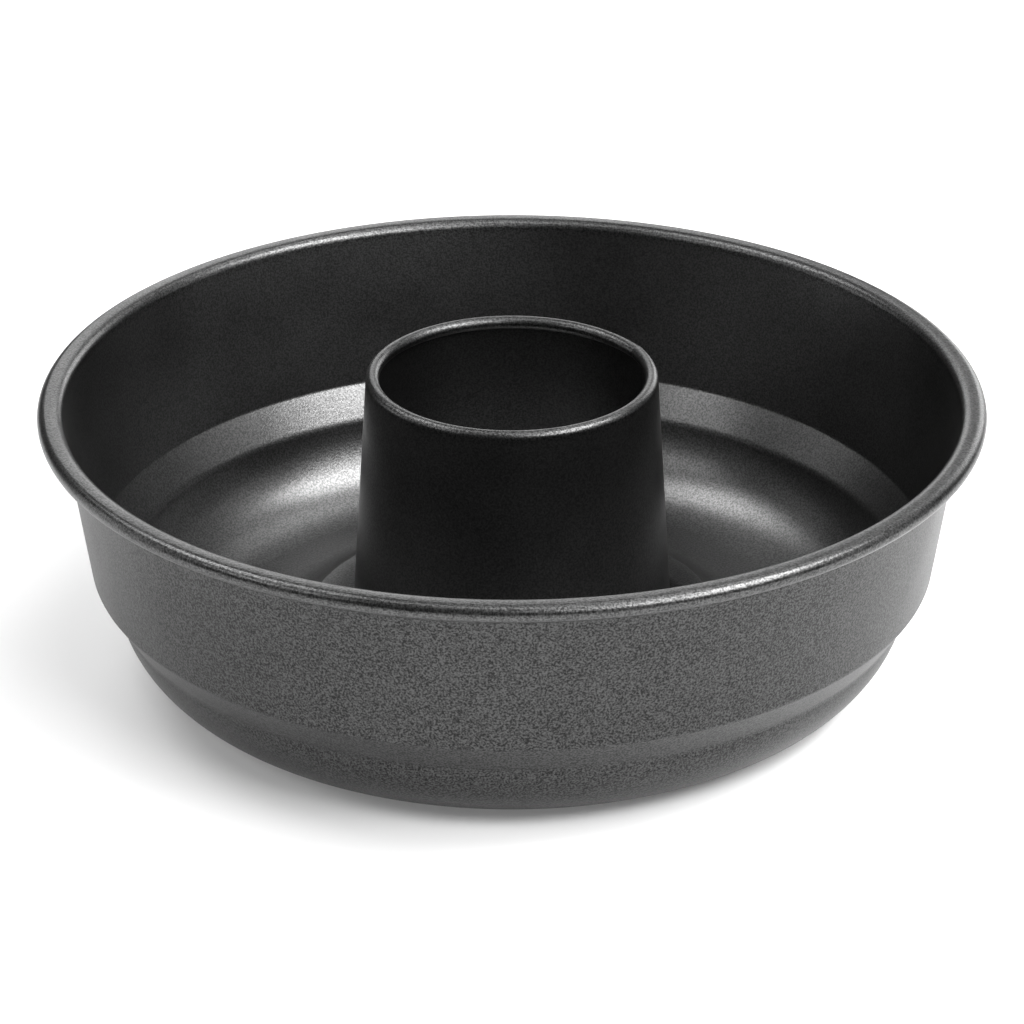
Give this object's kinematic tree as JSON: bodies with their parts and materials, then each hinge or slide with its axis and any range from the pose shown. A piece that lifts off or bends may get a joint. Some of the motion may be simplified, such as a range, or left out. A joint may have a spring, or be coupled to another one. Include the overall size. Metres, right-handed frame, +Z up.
{
  "type": "ring cake pan",
  "caption": "Round non-stick metal cake pan with a rolled rim, a stepped wall and a centre tube, for baking ring-shaped cakes.",
  "frame": {"origin": "centre of the plane that the pan stands on", "axes": "+Z up along the axis of the pan and its tube; the pan is the same all round, and its tube's weld seam faces between +X and +Y"},
  "size_m": [0.2606, 0.2606, 0.0845],
  "materials": {
    "body_coating": "dark grey metallic non-stick coating on steel sheet, satin, finely speckled",
    "tube_coating": "dark grey metallic non-stick coating on steel sheet, satin, finely speckled",
    "rim_wire_steel": "bright drawn steel wire"
  },
  "bodies": {
    "root": {"pan_shell": "body_coating", "rim_wire": "rim_wire_steel", "centre_tube": "tube_coating"}
  },
  "joints": []
}
